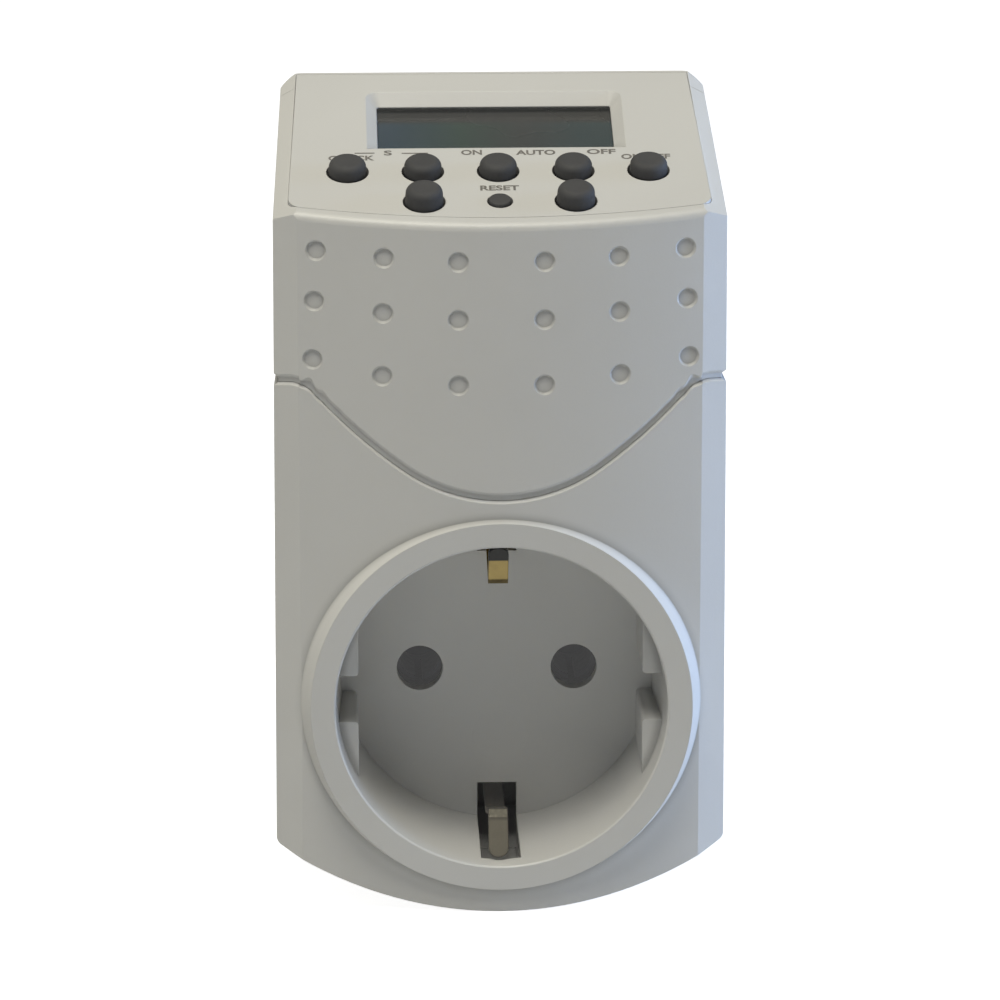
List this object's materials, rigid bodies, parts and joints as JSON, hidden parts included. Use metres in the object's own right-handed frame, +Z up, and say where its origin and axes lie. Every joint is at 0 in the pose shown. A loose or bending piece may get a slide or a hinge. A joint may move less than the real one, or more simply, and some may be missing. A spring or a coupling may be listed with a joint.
{
  "type": "plug-in timer",
  "caption": "Digital plug-in timer: round earthed socket in front, plug pins behind, and a display with push keys on the sloping top.",
  "frame": {"origin": "middle of the plug base's end face, on the common axis of plug and socket", "axes": "+X to the right seen from the front, +Y from the front into the wall, +Z up"},
  "size_m": [0.0546, 0.0708, 0.0973],
  "materials": {
    "housing_plastic": "fine-grained, semi-matt",
    "key_plastic": "semi-matt",
    "clear_window": "clear",
    "display_glass": "glossy behind the window",
    "inner_plastic": "matt",
    "soft_rubber": "matt",
    "control_laminate": "lacquered laminate",
    "power_laminate": "plain laminate",
    "nickel": "satin nickel plating",
    "contact_brass": "bare rolled strip",
    "screw_steel": "zinc plated",
    "black_case": "moulded",
    "film_case": "moulded",
    "capacitor_sleeve": "sleeved can",
    "varistor_coating": "dipped coating",
    "live_insulation": "smooth insulation",
    "switched_insulation": "smooth insulation",
    "neutral_insulation": "smooth insulation"
  },
  "bodies": {
    "timer": {"lower_front_cover": "housing_plastic", "timer_front_cover": "housing_plastic", "control_panel": "housing_plastic", "rear_housing": "housing_plastic", "socket_floor": "housing_plastic", "lcd_window": "clear_window", "lcd_module": "display_glass", "lcd_frame": "inner_plastic", "contact_carrier": "inner_plastic", "keypad_mat": "soft_rubber", "lcd_contact_strips": "soft_rubber", "control_board": "control_laminate", "power_board": "power_laminate", "live_pin": "nickel", "neutral_pin": "nickel", "earth_strap_upper": "nickel", "earth_strap_lower": "nickel", "quartz_crystal": "nickel", "backup_battery": "nickel", "live_contact": "contact_brass", "neutral_contact": "contact_brass", "earth_bridge": "contact_brass", "neutral_link": "contact_brass", "housing_screws": "screw_steel", "board_screws": "screw_steel", "relay": "black_case", "bridge_rectifier": "black_case", "timer_chip": "black_case", "board_link": "black_case", "dropper_capacitor": "film_case", "smoothing_capacitor": "capacitor_sleeve", "varistor": "varistor_coating", "live_feed_wire": "live_insulation", "switched_live_wire": "switched_insulation", "neutral_wire": "neutral_insulation"},
    "clock_key_cap": {"clock_key": "key_plastic"},
    "summer_key_cap": {"summer_key": "key_plastic"},
    "mode_key_cap": {"mode_key": "key_plastic"},
    "timer_key_cap": {"timer_key": "key_plastic"},
    "on_off_key_cap": {"on_off_key": "key_plastic"},
    "hour_key_cap": {"hour_key": "key_plastic"},
    "minute_key_cap": {"minute_key": "key_plastic"},
    "reset_key_cap": {"reset_key": "key_plastic"}
  },
  "joints": [
    {"name": "clock_press", "type": "slide", "parent": "timer", "child": "clock_key_cap", "axis": [0, 0.3371, -0.9415], "range_m": [0, 0.001], "stiffness_N_per_m": 1200, "springref_m": -0.0002, "deforming": ["keypad_mat"]},
    {"name": "summer_press", "type": "slide", "parent": "timer", "child": "summer_key_cap", "axis": [0, 0.3371, -0.9415], "range_m": [0, 0.001], "stiffness_N_per_m": 1200, "springref_m": -0.0002, "deforming": ["keypad_mat"]},
    {"name": "mode_press", "type": "slide", "parent": "timer", "child": "mode_key_cap", "axis": [0, 0.3371, -0.9415], "range_m": [0, 0.001], "stiffness_N_per_m": 1200, "springref_m": -0.0002, "deforming": ["keypad_mat"]},
    {"name": "timer_press", "type": "slide", "parent": "timer", "child": "timer_key_cap", "axis": [0, 0.3371, -0.9415], "range_m": [0, 0.001], "stiffness_N_per_m": 1200, "springref_m": -0.0002, "deforming": ["keypad_mat"]},
    {"name": "on_off_press", "type": "slide", "parent": "timer", "child": "on_off_key_cap", "axis": [0, 0.3371, -0.9415], "range_m": [0, 0.001], "stiffness_N_per_m": 1200, "springref_m": -0.0002, "deforming": ["keypad_mat"]},
    {"name": "hour_press", "type": "slide", "parent": "timer", "child": "hour_key_cap", "axis": [0, 0.3371, -0.9415], "range_m": [0, 0.001], "stiffness_N_per_m": 1200, "springref_m": -0.0002, "deforming": ["keypad_mat"]},
    {"name": "minute_press", "type": "slide", "parent": "timer", "child": "minute_key_cap", "axis": [0, 0.3371, -0.9415], "range_m": [0, 0.001], "stiffness_N_per_m": 1200, "springref_m": -0.0002, "deforming": ["keypad_mat"]},
    {"name": "reset_press", "type": "slide", "parent": "timer", "child": "reset_key_cap", "axis": [0, 0.3371, -0.9415], "range_m": [0, 0.0006], "stiffness_N_per_m": 1200, "springref_m": -0.0002, "deforming": ["keypad_mat"]}
  ]
}
